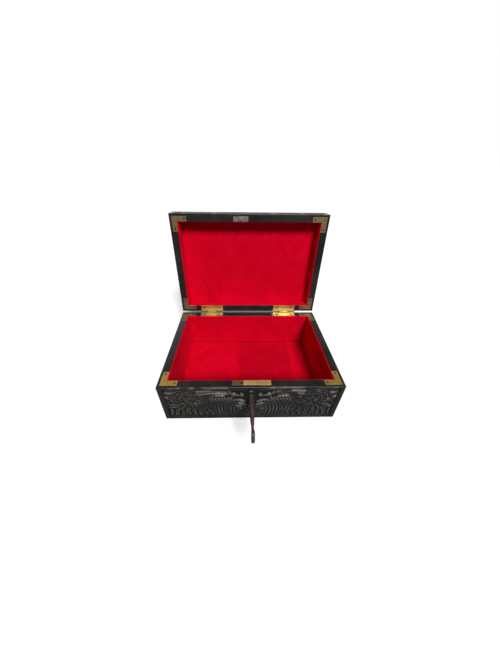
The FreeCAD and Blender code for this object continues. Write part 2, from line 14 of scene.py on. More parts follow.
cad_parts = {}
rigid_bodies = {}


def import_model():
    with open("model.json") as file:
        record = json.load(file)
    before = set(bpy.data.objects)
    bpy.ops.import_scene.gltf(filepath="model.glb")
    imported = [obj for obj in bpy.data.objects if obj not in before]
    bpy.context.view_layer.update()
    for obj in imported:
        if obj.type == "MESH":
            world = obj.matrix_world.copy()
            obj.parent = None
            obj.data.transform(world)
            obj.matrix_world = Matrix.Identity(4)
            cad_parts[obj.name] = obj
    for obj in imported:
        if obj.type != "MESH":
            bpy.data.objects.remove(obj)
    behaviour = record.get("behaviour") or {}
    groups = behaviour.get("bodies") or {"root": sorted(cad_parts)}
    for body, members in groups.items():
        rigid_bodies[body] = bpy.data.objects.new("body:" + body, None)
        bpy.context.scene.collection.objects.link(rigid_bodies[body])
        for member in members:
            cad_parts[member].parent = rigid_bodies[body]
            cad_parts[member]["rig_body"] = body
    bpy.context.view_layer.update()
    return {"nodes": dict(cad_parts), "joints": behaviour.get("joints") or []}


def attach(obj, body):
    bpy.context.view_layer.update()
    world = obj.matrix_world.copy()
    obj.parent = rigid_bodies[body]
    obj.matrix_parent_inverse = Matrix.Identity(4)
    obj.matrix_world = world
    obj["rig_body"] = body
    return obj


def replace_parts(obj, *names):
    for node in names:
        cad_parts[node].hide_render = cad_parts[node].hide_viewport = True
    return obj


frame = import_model()

MM = 0.001

# The lid's swing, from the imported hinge
hinge = next(joint for joint in frame["joints"] if joint["name"] == "lid_hinge")
pivot = Matrix.Translation(Vector(hinge["pos_m"]))
SWING = pivot @ Matrix.Rotation(-math.radians(hinge["range_deg"][1]), 4, "X") @ pivot.inverted()
STILL = Matrix.Identity(4)

# Carving and edges, in millimetres
SKIN = 4.3            # thickness of the carved layer of a board
LAP = 0.05            # overlap of that layer and the board's core
GROUND = 3.3          # depth of the background behind the carved motifs
LID_GROUND = 2.4      # and on the lid's walls
EDGE = 1.3            # rounding of the boards' outer edges
HINGE_EDGE = 0.5      # and of the two edges that meet at the hinges
TOP_EDGE = 3.2        # and of the lid's top
STEP = 0.62           # spacing of the front board's carved grid
COARSE_STEP = 0.8     # spacing on the other walls
TOP_STEP = 0.85       # and on the lid's top
BORDER_SIDE, BORDER_TOP, BORDER_FOOT = 7.5, 5.5, 2.5            # plain frame round the carving
LID_BORDER_TOP, LID_BORDER_RIM, TOP_BORDER = 4.0, 3.0, 11       # and on the lid's walls and its top
UNDERCUT = 0.45       # how far a motif may cut into the one under it
FOOT_EASE = 6         # how many times gentler the border's shoulder is at the foot
KEYHOLE_LIP = 1.2     # how much of the barrel's rim the keyhole hides
SLOT_HALF = 2.0       # half the width of the keyhole's slot
SLOT_DROP = 3.5       # how far the slot runs below the barrel
HAIR = 0.02           # how far a hinge leaf's recess clears the leaf
KNEE = 4              # height of the strip over which a wall's top is lowered to that recess
VELVET_ROLL = 1.6     # rolled edge of a velvet panel
VELVET_CELL = 5.0     # spacing of its grid
VELVET_INSET = 0.04   # how far its back stays inside its place
QUARTER = math.pi / 2
SEED = 7


def body_of(node):
    return frame["nodes"][node]["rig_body"]


def swing_of(node):
    """The lid's swing for a node on the lid, and no motion for the rest."""
    return SWING if body_of(node) == "lid" else STILL


def closed_points(node):
    """A node's points in millimetres, with the lid closed."""
    back = swing_of(node).inverted()
    return np.array([back @ vertex.co for vertex in frame["nodes"][node].data.vertices]) / MM


def closed_box(node):
    """A node's lowest and highest corners in millimetres, with the lid closed."""
    points = closed_points(node)
    return points.min(0), points.max(0)


# ---------------- materials
class Shader:
    """A procedural material, written as nested node calls."""

    def __init__(self, name):
        self.material = bpy.data.materials.new(name)
        self.material.use_nodes = True
        self.tree = self.material.node_tree
        self.surface = self.tree.nodes["Principled BSDF"]
        self.place = self.add("ShaderNodeTexCoord").outputs["Object"]

    def add(self, kind, inputs=None, **settings):
        node = self.tree.nodes.new(kind)
        for key, value in settings.items():
            setattr(node, key, value)
        for key, value in (inputs or {}).items():
            self.feed(node.inputs[key], value)
        return node

    def feed(self, socket, value):
        if isinstance(value, bpy.types.NodeSocket):
            self.tree.links.new(value, socket)
        else:
            socket.default_value = value

    def finish(self, **sockets):
        """Feeds the surface: base_color=..., roughness=..., and so on."""
        for key, value in sockets.items():
            title = " ".join(word.capitalize() for word in key.split("_")).replace("Ior", "IOR")
            self.feed(self.surface.inputs[title], value)
        return self.material

    def stretched(self, scale, turn=(0, 0, 0)):
        mapping = {"Vector": self.place, "Scale": scale, "Rotation": turn}
        return self.add("ShaderNodeMapping", mapping).outputs[0]

    def noise(self, scale, detail=3.0, rough=0.5, place=None, distortion=0.0):
        return self.add("ShaderNodeTexNoise", {
            "Vector": place or self.place, "Scale": scale, "Detail": detail,
            "Roughness": rough, "Distortion": distortion,
        }).outputs[0]

    def cells(self, scale):
        return self.add("ShaderNodeTexVoronoi", {"Vector": self.place, "Scale": scale}).outputs["Distance"]

    def spread(self, value, low, high, start=0.0, end=1.0):
        """value mapped from low..high to start..end, held at the ends."""
        return self.add("ShaderNodeMapRange", {
            "Value": value, "From Min": low, "From Max": high, "To Min": start, "To Max": end,
        }, interpolation_type="SMOOTHSTEP").outputs[0]

    def maths(self, operation, first, second=0.0):
        return self.add("ShaderNodeMath", {0: first, 1: second}, operation=operation).outputs[0]

    def mix(self, share, first, second, blend="MIX"):
        node = self.add("ShaderNodeMix", data_type="RGBA", blend_type=blend)
        self.feed(node.inputs["Factor"], share)
        for socket, value in ((node.inputs[6], first), (node.inputs[7], second)):
            self.feed(socket, value if isinstance(value, bpy.types.NodeSocket) else (*value, 1))
        return node.outputs[2]

    def tint(self, colour, over, field, low, high, start=0.0, end=1.0):
        """colour with another laid over it, more and more as field goes from low to high."""
        return self.mix(self.spread(field, low, high, start, end), colour, over)

    def bump(self, height, depth, below=None):
        """A bump whose full height is depth millimetres."""
        sockets = {"Height": height, "Distance": depth * MM, "Strength": 1.0}
        if below is not None:
            sockets["Normal"] = below
        return self.add("ShaderNodeBump", sockets).outputs[0]

    def attribute(self, name):
        return self.add("ShaderNodeAttribute", attribute_name=name).outputs["Fac"]

    def ragged_x(self, waves, low, high, reach):
        """The x coordinate, swayed by up to reach millimetres as waves goes from low to high."""
        x = self.add("ShaderNodeSeparateXYZ", {0: self.place}).outputs[0]
        return self.maths("ADD", x, self.spread(waves, low, high, -reach * MM, reach * MM))


def wood(name, grain, carved=False):
    """Black stained hardwood under thin polish, with its grain along x (0) or y (1)."""
    shader = Shader(name)
    along, across = 9, 150
    scale = [across] * 3
    scale[grain] = along
    fibre = shader.noise(5.0, 6, 0.65, shader.stretched(scale), 0.4)
    pores = shader.noise(14.0, 3, 0.6, shader.stretched(scale))
    cloud = shader.noise(22, 4, 0.6)
    colour = shader.tint((0.0060, 0.0055, 0.0050), (0.0150, 0.0132, 0.0118), fibre, 0.35, 0.7)
    colour = shader.tint(colour, (0.020, 0.0182, 0.0165), cloud, 0.5, 0.75, 0, 0.5)
    rough = shader.spread(cloud, 0.3, 0.7, 0.26, 0.42)
    relief = shader.bump(shader.spread(pores, 0.3, 0.75), 0.05)
    if carved:
        height, ridge = shader.attribute("relief"), shader.attribute("ridge")
        # Lighter in clouds on the raised parts: partly dust, partly a painted sheen.
        raised = shader.spread(height, 0.3, 0.8, 0, 0.5)
        dust_and_sheen = shader.maths("MULTIPLY", raised, shader.spread(cloud, 0.4, 0.65))
        colour = shader.mix(dust_and_sheen, colour, (0.022, 0.0205, 0.0185))
        # Painted shade: darker the deeper the ground lies behind the motifs.
        colour = shader.tint(colour, (0.0035, 0.0033, 0.0030), height, 0.6, 0.1)
        # Painted shade: darker in the grooves and hollows, below the places round them.
        colour = shader.tint(colour, (0.0025, 0.0023, 0.0021), ridge, 0.0, -0.6)
        # Painted highlight: lighter on the ridges that stand over the places round them. Along the upper edge
        # the same tint also shows where the polish is rubbed off.
        colour = shader.tint(colour, (0.106, 0.098, 0.091), ridge, 0.12, 0.65, 0, 0.9)
        rough = shader.maths("ADD", rough, shader.spread(height, 0.7, 0.0, 0.0, 0.25))
        cuts = shader.noise(420, 2, 0.5, distortion=0.5)
        relief = shader.bump(shader.spread(cuts, 0.3, 0.7), 0.08, relief)
    return shader.finish(base_color=colour, roughness=rough, normal=relief, specular_ior_level=0.38)


def velvet(name, darker_stretches=()):
    """Red cut pile, its colour multiplied by gain over each stretch along x, given as (start, end, soft edge,
    gain)."""
    shader = Shader(name)
    pile = shader.noise(1500, 2, 0.6)
    tufts = shader.noise(420, 3, 0.55)
    second_tone = shader.noise(26, 3, 0.55, shader.stretched((1, 1, 0.7)), 0.8)
    mottle = shader.noise(95, 2, 0.5)
    colour = shader.tint((0.50, 0.0003, 0.0115), (0.60, 0.0006, 0.0165), second_tone, 0.3, 0.72)
    colour = shader.tint(colour, (0.46, 0.0003, 0.010), mottle, 0.45, 0.75, 0, 0.35)
    colour = shader.tint(colour, (0.38, 0.0004, 0.009), tufts, 0.52, 0.8, 0, 0.5)
    # Each stretch darkens the colour by its gain. On the lid's front lining this is painted shade.
    if darker_stretches:
        x = shader.ragged_x(shader.noise(30, 2), 0.2, 0.8, 2.5)
        for start, end, soft, gain in darker_stretches:
            rise = shader.spread(x, (start - soft) * MM, (start + soft) * MM)
            fall = shader.spread(x, (end - soft) * MM, (end + soft) * MM, 1, 0)
            share = shader.maths("MULTIPLY", rise, fall)
            colour = shader.mix(share, colour, (gain, gain, gain), "MULTIPLY")
    lint = shader.spread(shader.cells(48), 0.022, 0.010, 0, 0.55)
    colour = shader.mix(lint, colour, (0.55, 0.28, 0.25))
    relief = shader.bump(pile, 0.35, shader.bump(tufts, 0.3))
    return shader.finish(
        base_color=colour, roughness=0.95, normal=relief, specular_ior_level=0.02,
        sheen_weight=0.30, sheen_roughness=0.45, sheen_tint=(1.0, 0.01, 0.05, 1),
    )


def metal(name, bright, dull, dirt, rough=(0.26, 0.5), tarnish=0.5, pits=0.0, stain=None, greasy=0.0):
    """Old sheet metal: a rubbed surface, darker tarnish in clouds, scratches, and dirt in pits. It is stained
    dark up to x = stain, and dirty as far from the hinge pins as greasy says, both in millimetres."""
    shader = Shader(name)
    cloud = shader.noise(70, 5, 0.65, distortion=0.6)
    fine = shader.noise(520, 4, 0.6)
    scratch = shader.noise(26, 3, 0.6, shader.stretched((6, 55, 30), (0, 0, 0.5)))
    hairs = shader.noise(30, 2, 0.5, shader.stretched((70, 4, 30), (0, 0, -0.25)))
    colour = shader.tint(bright, dull, cloud, 0.42, 0.66, 0, tarnish)
    colour = shader.tint(colour, dirt, fine, 0.55, 0.75, 0, 0.7 * tarnish)
    colour = shader.tint(colour, dull, scratch, 0.66, 0.74, 0, 0.5)
    if stain is not None:
        x = shader.ragged_x(fine, 0.3, 0.7, 1.5)
        colour = shader.tint(colour, (0.10, 0.085, 0.065), x, (stain + 1) * MM, (stain - 1) * MM, 0, 0.75)
    if greasy:
        across = {0: shader.place, 1: (0, 1, 1)}
        section = shader.add("ShaderNodeVectorMath", across, operation="MULTIPLY").outputs[0]
        pin = {0: section, 1: (0, *hinge["pos_m"][1:])}
        far = shader.add("ShaderNodeVectorMath", pin, operation="DISTANCE").outputs["Value"]
        colour = shader.tint(colour, dirt, far, 1.15 * greasy * MM, 0.9 * greasy * MM, 0, 0.8)
    worn = shader.maths("ADD", cloud, shader.maths("MULTIPLY", fine, 0.5))
    roughness = shader.spread(worn, 0.6, 0.95, *rough)
    relief = shader.bump(shader.spread(hairs, 0.5, 0.75), 0.02, shader.bump(scratch, 0.03))
    if pits:
        holes = shader.spread(shader.cells(420), 0.12, 0.35)
        colour = shader.tint(colour, dirt, holes, 1, 0, 0, pits)
        relief = shader.bump(holes, 0.15, relief)
    return shader.finish(base_color=colour, metallic=1.0, roughness=roughness, normal=relief)


def rust(name):
    """Iron browned by old rust, rubbed brighter in patches."""
    shader = Shader(name)
    cloud = shader.noise(140, 6, 0.7, distortion=0.4)
    grit = shader.noise(900, 4, 0.7)
    streak = shader.noise(60, 4, 0.6, shader.stretched((14, 1.2, 14)))
    colour = shader.tint((0.020, 0.0125, 0.0095), (0.085, 0.047, 0.032), cloud, 0.35, 0.65)
    colour = shader.tint(colour, (0.21, 0.155, 0.120), streak, 0.52, 0.7, 0, 0.8)
    colour = shader.tint(colour, (0.045, 0.020, 0.012), grit, 0.55, 0.75, 0, 0.6)
    metallic = shader.spread(streak, 0.5, 0.72, 0.15, 0.75)
    roughness = shader.spread(streak, 0.45, 0.72, 0.78, 0.42)
    relief = shader.bump(grit, 0.12, shader.bump(cloud, 0.25))
    return shader.finish(base_color=colour, metallic=metallic, roughness=roughness, normal=relief)


def plain_ground(name):
    """The studio floor: pale matt paint, very slightly clouded, that throws little light back up."""
    shader = Shader(name)
    cloud = shader.noise(3, 3, 0.5)
    colour = shader.tint((0.90, 0.90, 0.90), (0.93, 0.93, 0.93), cloud, 0.3, 0.7)
    seen = shader.add("ShaderNodeLightPath").outputs["Is Camera Ray"]
    colour = shader.mix(seen, (0.20, 0.20, 0.20), colour)
    return shader.finish(base_color=colour, roughness=0.9, specular_ior_level=0.0)


MATERIALS = {
    "wood_x": wood("ebonised_wood_x", 0),
    "wood_y": wood("ebonised_wood_y", 1),
    "carved_x": wood("carved_ebonised_wood_x", 0, carved=True),
    "carved_y": wood("carved_ebonised_wood_y", 1, carved=True),
    "red_velvet": velvet("red_velvet_pile"),
    # Darker between x = -21 and 92 mm.
    "floor_velvet": velvet("red_velvet_pile_floor", darker_stretches=[(-21, 92, 3, 0.80)]),
    # Painted shade: the lid's front lining darkened all across, to 0.45 of its colour.
    "painted_shade_velvet": velvet("red_velvet_painted_shade", darker_stretches=[(-160, 160, 3, 0.45)]),
    "aged_brass": metal(
        "aged_brass_sheet", (0.84, 0.57, 0.15), (0.41, 0.28, 0.09), (0.07, 0.045, 0.020),
        (0.38, 0.62), 0.65),
    "olive_brass": metal(
        "olive_brass_sheet", (0.40, 0.30, 0.155), (0.20, 0.155, 0.085), (0.05, 0.038, 0.022),
        (0.40, 0.66), 0.8),
    # Lid hinge leaves: a brighter copy of the hinge brass, painted light.
    "lid_hinge_brass": metal(
        "hinge_brass_painted_light", (1.00, 0.84, 0.36), (0.86, 0.67, 0.26), (0.10, 0.075, 0.04),
        (0.30, 0.50), 0.6, greasy=2.6),
    # Base hinge leaves: a darker copy of the same brass, painted shade.
    "base_hinge_brass": metal(
        "hinge_brass_painted_shade", (0.34, 0.27, 0.14), (0.22, 0.17, 0.085), (0.07, 0.052, 0.03),
        (0.46, 0.64), 0.6, greasy=2.6),
    # Near-black screw heads.
    "screw_brass": metal(
        "near_black_screw_brass", (0.060, 0.044, 0.025), (0.035, 0.026, 0.016), (0.010, 0.008, 0.006),
        (0.4, 0.65), 0.7),
    "plate_brass": metal(
        "lock_plate_brass", (1.00, 0.82, 0.34), (0.82, 0.64, 0.26), (0.08, 0.055, 0.028),
        (0.40, 0.6), 0.6, stain=-13),
    "lock_brass": metal(
        "lock_brass_cast", (0.60, 0.43, 0.18), (0.36, 0.26, 0.12), (0.07, 0.05, 0.03), (0.4, 0.6)),
    "worn_nickel": metal(
        "worn_nickel_plate", (0.48, 0.44, 0.38), (0.085, 0.072, 0.058), (0.02, 0.017, 0.013),
        (0.35, 0.6), 0.9, pits=0.9),
    "lock_steel": metal(
        "lock_steel_wire", (0.55, 0.55, 0.55), (0.35, 0.34, 0.32), (0.08, 0.07, 0.06)),
    "escutcheon": metal(
        "brown_escutcheon_brass", (0.080, 0.060, 0.034), (0.040, 0.031, 0.020), (0.018, 0.013, 0.009),
        (0.45, 0.65), 0.8),
    "rusty_iron": rust("rusty_key_iron"),
}


# ---------------- meshes
def add_object(name, data):
    thing = bpy.data.objects.new(name, data)
    bpy.context.scene.collection.objects.link(thing)
    return thing


def saved(mesh, name):
    """A bmesh as mesh data. The bmesh is freed."""
    data = bpy.data.meshes.new(name)
    mesh.to_mesh(data)
    mesh.free()
    return data


def new_mesh(name, points, faces, swing=STILL):
    """A mesh from points in millimetres, turned by swing."""
    mesh = bpy.data.meshes.new(name)
    mesh.from_pydata((points * MM).tolist(), [], faces)
    mesh.transform(swing)
    return mesh


def face_outwards(data, backs=()):
    """Turns a closed mesh's faces outwards, once the flat back between the loops in backs is filled."""
    mesh = bmesh.new()
    mesh.from_mesh(data)
    if backs:
        close_back(mesh, backs)
    bmesh.ops.recalc_face_normals(mesh, faces=mesh.faces)
    mesh.to_mesh(data)
    mesh.free()


def dress(name, mesh, body, material, sharp_angle, level_faces=False):
    """An object for a finished mesh, with its material, slot and body. Edges over sharp_angle degrees stay
    sharp, and level_faces shades flat faces as flat."""
    mesh.materials.clear()
    mesh.materials.append(MATERIALS[material])
    mesh.shade_smooth()
    mesh.set_sharp_from_angle(angle=math.radians(sharp_angle))
    piece = add_object(name, mesh)
    if level_faces:
        normals = piece.modifiers.new("level_faces", "WEIGHTED_NORMAL")
        normals.keep_sharp = True
    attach(piece, body)
    return piece


def welded(node):
    """A node's CAD mesh, welded, with its flat faces whole again."""
    mesh = bmesh.new()
    mesh.from_mesh(frame["nodes"][node].data)
    bmesh.ops.remove_doubles(mesh, verts=mesh.verts, dist=1e-6)
    bmesh.ops.dissolve_limit(mesh, angle_limit=math.radians(0.5), verts=mesh.verts, edges=mesh.edges)
    return mesh


def soften(mesh, width, least_angle=28, least_length=0.0, wanted=None):
    """Rounds a mesh's sharp outer edges by width millimetres."""
    edges = [
        edge for edge in mesh.edges
        if len(edge.link_faces) == 2
        and edge.is_convex
        and edge.calc_face_angle(0) > math.radians(least_angle)
        and edge.calc_length() > least_length * MM
        and (wanted is None or wanted(edge))
    ]
    bmesh.ops.bevel(
        mesh, geom=edges, offset=width * MM, offset_type="OFFSET", segments=2, profile=0.5,
        affect="EDGES", clamp_overlap=True,
    )


def refined(node, finish, material, width, least_length=0.0):
    """A CAD part's own shape with its longer edges eased, as a piece that stands for the node."""
    mesh = welded(node)
    soften(mesh, width, least_length=least_length)
    name = f"{node}_{finish}"
    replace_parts(dress(name, saved(mesh, name), body_of(node), material, 40, True), node)


# ---------------- carving
# Outlines of carved blades, as exponents of q and 1 - q along their length, and how a veined leaf is cut
LEAF = (0.62, 0.85)
PETAL = (0.75, 0.28)
FEATHER = (0.22, 0.40)
STEM = (0.05, 0.35)
BEAK = (0.10, 0.80)
VEINED = {"outline": LEAF, "rib": 0.8, "veins": 5, "cut": 0.55}


def blurred(field, cells, rounds=2):
    """A soft copy of a field: box averages over 2 * cells + 1 places, both ways."""
    width = 2 * cells + 1
    for _ in range(rounds):
        for axis in (0, 1):
            pad = [(0, 0), (0, 0)]
            pad[axis] = (cells + 1, cells)
            total = np.cumsum(np.pad(field, pad, mode="edge"), axis)
            if axis == 0:
                field = (total[width:] - total[:-width]) / width
            else:
                field = (total[:, width:] - total[:, :-width]) / width
    return field


class Relief:
    """A carved face: heights over a grid, zero at the board's face and -ground behind the motifs. worn is how
    far the polish is rubbed off, and free is zero where a border or a mount's seat covers the carving."""

    def __init__(self, us, vs, seed, ground=GROUND):
        self.us, self.vs, self.ground = us, vs, ground
        self.random = np.random.default_rng(seed)
        self.side = 1         # 1 draws as told, and -1 draws mirrored
        self.height = np.full((len(vs), len(us)), -float(ground))
        self.worn = np.zeros_like(self.height)
        self.free = np.ones_like(self.height)

    def window(self, x, y, reach):
        """The part of the grid near a point, and its coordinates from that point."""
        columns = slice(*np.searchsorted(self.us, (x - reach, x + reach)))
        rows = slice(*np.searchsorted(self.vs, (y - reach, y + reach)))
        return (rows, columns), self.us[None, columns] - x, self.vs[rows, None] - y

    def lay(self, area, inside, height):
        """Lays a motif over what is there: it may cut a little into what it overlaps."""
        under = self.height[area]
        self.height[area] = np.where(inside, np.maximum(height, under - UNDERCUT), under)

    def blade(self, x, y, heading, length, width, bend=0.0, level=0.0, crown=1.2, outline=LEAF,
              cup=0.0, rib=0.0, veins=0, lines=0, cut=0.3):
        """A leaf, petal, feather or stem: width is half across, heading and bend are in degrees."""
        if self.side < 0:
            x, heading, bend = -x, 180 - heading, -bend
        area, dx, dy = self.window(x, y, length + width)
        turn = math.radians(heading)
        ahead = dx * math.cos(turn) + dy * math.sin(turn)
        aside = dy * math.cos(turn) - dx * math.sin(turn)
        if abs(bend) > 1:
            radius = length / math.radians(bend)
            hand = math.copysign(1, radius)
            along = radius * np.arctan2(ahead * hand, (radius - aside) * hand)
            aside = radius - hand * np.hypot(ahead, radius - aside)
            ahead = along
        q = np.clip(ahead / length, 1e-6, 1 - 1e-6)
        rise, fall = outline
        peak = rise / (rise + fall)
        half = width * (q / peak) ** rise * ((1 - q) / (1 - peak)) ** fall
        across = np.abs(aside) / half
        inside = (ahead > 0) & (ahead < length) & (across < 1)
        across = np.minimum(across, 1)
        dome = np.sqrt(1 - across**2)
        bowl = (0.25 + 0.75 * across**2) * np.clip((1 - across) * 5, 0, 1) ** 0.5
        shape = crown * ((1 - cup) * dome + cup * bowl) * (0.6 + 0.4 * np.sin(np.pi * np.sqrt(q)))
        if rib:
            shape = shape - rib * np.exp(-((aside / (0.13 * width)) ** 2)) * (1 - q) ** 0.3
        if veins:
            wave = 0.5 + 0.5 * np.cos(2 * np.pi * (veins * q - 1.1 * across))
            shape = shape - cut * wave**3 * np.clip(3 * (1 - across), 0, 1)
        if lines:
            wave = 0.5 + 0.5 * np.cos(2 * np.pi * lines * aside / (2 * half))
            shape = shape - cut * wave**2 * np.clip(4 * (1 - across), 0, 1)
        self.lay(area, inside, level + shape)

    def boss(self, x, y, wide, high, level, crown, ring=0.0):
        """A rounded oval knob, with a groove round it at that share of its size."""
        x = x * self.side
        area, dx, dy = self.window(x, y, max(wide, high))
        reach = np.hypot(dx / wide, dy / high)
        shape = level + crown * np.sqrt(np.clip(1 - reach**2, 0, 1))
        if ring:
            shape = shape - 0.5 * np.exp(-(((reach - ring) / 0.12) ** 2))
        self.lay(area, reach < 1, shape)

    def jitter(self, size):
        """A random number between -size and size."""
        return self.random.uniform(-size, size)

    def peony(self, x, y, radius, level=-2.6):
        """A full flower: four rings of cupped petals with rolled rims, round a bud."""
        rings = ((8, 1.00, 0.36, 0.0), (7, 0.78, 0.33, 0.25), (6, 0.56, 0.29, 0.5), (5, 0.36, 0.22, 0.8))
        start = 0.10 * radius
        for ring, (count, reach, breadth, lift) in enumerate(rings):
            angles = [360 * (petal + 0.5 * (ring % 2)) / count for petal in range(count)]
            for middle in angles:
                angle = middle + self.jitter(9)
                turn = math.radians(angle)
                self.blade(
                    x + start * math.cos(turn), y + start * math.sin(turn), angle,
                    radius * reach * (0.92 + self.jitter(0.07)), radius * breadth, 50 + self.jitter(25),
                    level + lift, 2.0, PETAL, cup=0.55, lines=2, cut=0.85,
                )
            span = 400 / count
            for middle in angles:
                angle = middle - span / 2 + self.jitter(6)
                turn = math.radians(angle)
                rim = radius * reach * (0.9 + self.jitter(0.03))
                self.blade(
                    x + rim * math.cos(turn), y + rim * math.sin(turn), angle + 96,
                    rim * math.radians(span), 0.075 * radius, span, level + lift + 1.0, 1.2, FEATHER,
                )
        self.boss(x, y, 0.19 * radius, 0.17 * radius, level + 1.5, 1.0, ring=0.55)

    def leaf(self, x, y, heading, length, width, bend=0.0, level=-2.5):
        """A veined leaf with a sunk midrib."""
        self.blade(x, y, heading, length, width, bend, level, 1.75, LEAF, rib=0.75, veins=6, cut=0.45)

    def tuft(self, x, y, leaves):
        """Leaves fanned up from one point, given as pairs of heading and length."""
        for heading, length in leaves:
            self.leaf(x, y, heading, length, 0.2 * length, (90 - heading) * 0.5)

    def stem(self, x, y, heading, length, bend=0.0, width=1.3, level=-2.6):
        self.blade(x, y, heading, length, width, bend, level, 1.5, STEM)

    def bundle(self, start, end, headings, lengths, bends, width, count, level, crown,
               outline=FEATHER, **cuts):
        """Blades side by side from start to end, turned, sized and bent between the first and the last."""
        first = (*start, headings[0], lengths[0], bends[0])
        last = (*end, headings[1], lengths[1], bends[1])
        for share in np.linspace(0, 1, count):
            x, y, heading, length, bend = (a + (b - a) * share for a, b in zip(first, last))
            turned = heading + self.jitter(4)
            sized = length * (1 + self.jitter(0.07))
            bent = bend + self.jitter(6)
            self.blade(x, y, turned, sized, width, bent, level + 0.3 * share, crown, outline, **cuts)

    def leaves(self, *row):
        """A bundle of veined leaves."""
        self.bundle(*row, **VEINED)

    def bird(self, x, y):
        """A long-necked bird looking towards the middle; x, y is the back of its head."""
        for plumes in (
            ((x - 10, y - 15), (x + 42, y - 12), (-52, -66), (50, 42), (-62, -50), 2.1, 13, -2.9, 2.1),
            ((x + 2, y - 8), (x + 44, y - 10), (-40, -56), (30, 24), (-50, -34), 1.7, 9, -1.9, 1.5),
            ((x + 30, y + 3), (x + 40, y - 10), (-12, -40), (62, 44), (-46, -20), 2.9, 4, -2.0, 2.0, STEM),
            ((x + 64, y + 8), (x + 56, y - 7), (175, 162), (58, 44), (8, 24), 2.8, 3, -2.0, 2.0),
        ):
            self.bundle(*plumes)
        for rise in (10, 28, 46):
            self.blade(x + 3, y + 3, rise, 14, 1.6, 35, -1.3, 1.3, LEAF)
        self.boss(x, y, 5.0, 4.0, -1.6, 1.6)
        self.blade(x - 3, y - 0.4, 192, 9.0, 2.0, 30, -1.6, 1.5, BEAK, rib=0.4)
        self.boss(x - 1.3, y + 0.6, 1.9, 1.8, -0.1, 0.3, ring=0.6)
        self.boss(x - 1.3, y + 0.6, 0.9, 0.9, -0.1, 0.3)

    def scroll(self, start, end, middle, swing, leaf, level=-2.2):
        """A running stem that waves along the face, with a leaf in each hollow and a bud at each crest."""
        count = max(2, round((end - start) / (2.6 * swing)))
        pitch = (end - start) / count
        for index in range(count):
            hand = 1 if index % 2 else -1
            x = start + pitch * index
            rise = hand * swing
            self.blade(
                x, middle - 0.5 * rise, 45 * hand, pitch * 1.16, 1.1, -90 * hand, level + 0.5, 1.3, STEM)
            self.blade(
                x + 0.30 * pitch, middle + 0.1 * rise, -62 * hand, leaf, 0.27 * leaf, 70 * hand,
                level, 1.7, rib=0.6, veins=5, cut=0.35)
            self.blade(
                x + 0.62 * pitch, middle + 0.35 * rise, 30 * hand, 0.7 * leaf, 0.2 * leaf, -60 * hand,
                level, 1.6, rib=0.5)
            bud = 0.13 * leaf
            self.boss(x + 0.5 * pitch, middle - 0.62 * rise, bud, bud, level, 1.5, ring=0.55)

    def stipple(self):
        """The punched and uneven background."""
        rough = self.random.normal(0, 1, self.height.shape)
        self.height += np.where(self.height <= -self.ground + 0.01, 0.28 * blurred(rough, 1, 1), 0)
        waves = blurred(self.random.normal(0, 1, self.height.shape), 6)
        self.height += 1.6 * waves * np.clip(-self.height, 0, 1)

    def wear(self, top):
        """Rubs the polish off in patches along the upper edge."""
        patches = blurred(self.random.normal(0, 1, self.height.shape), 7)
        near = np.clip(1 - np.abs(self.vs[:, None] - top) / 3.0, 0, 1)
        self.worn += near * np.clip(0.35 + 9 * patches, 0, 1)

    def border(self, left, right, foot, top, slope=1.2):
        """A plain frame round the carving between these edges, with a soft shoulder, gentler at the foot."""
        u, v = self.us[None, :], self.vs[:, None]
        inside = np.minimum(np.minimum(u - left, right - u), np.minimum((v - foot) / FOOT_EASE, top - v))
        share = np.clip(inside / slope, 0, 1)
        share = share * share * (3 - 2 * share)
        self.height = self.height * share
        self.free = share

    def plateau(self, x, y, wide, high, level, shoulder=1.0):
        """A flat oval place at one level, for a mount."""
        reach = np.hypot((self.us[None, :] - x) / wide, (self.vs[:, None] - y) / high)
        share = np.clip((reach - 1) * min(wide, high) / shoulder, 0, 1)
        self.height = self.height * share + level * (1 - share)
        self.free = self.free * share

    def ridges(self):
        """How far each place stands over those round it, with the rubbed places on top."""
        return (self.height - blurred(self.height, 3)) * self.free + self.worn


def edge_places(radius, turn):
    """Distances from an edge of points round its corner, from the edge inwards."""
    angles = np.linspace(turn, 0, 5)
    return radius * (1 - np.sin(angles))


def places(low, high, radius, turn, step, extra=()):
    """Grid places from low to high, closer together round both rounded edges."""
    ends = edge_places(radius, turn)
    middle = np.linspace(low + radius, high - radius, max(2, round((high - low - 2 * radius) / step)))[1:-1]
    found = np.concatenate([low + ends, middle, high - ends[::-1], np.asarray(extra, float)])
    return np.unique(found.round(5))


def rounded_depth(distance, radius):
    """How far a rounded edge falls back at that distance from the edge."""
    near = np.clip(radius - distance, 0, radius)
    return radius - np.sqrt(radius**2 - near**2)


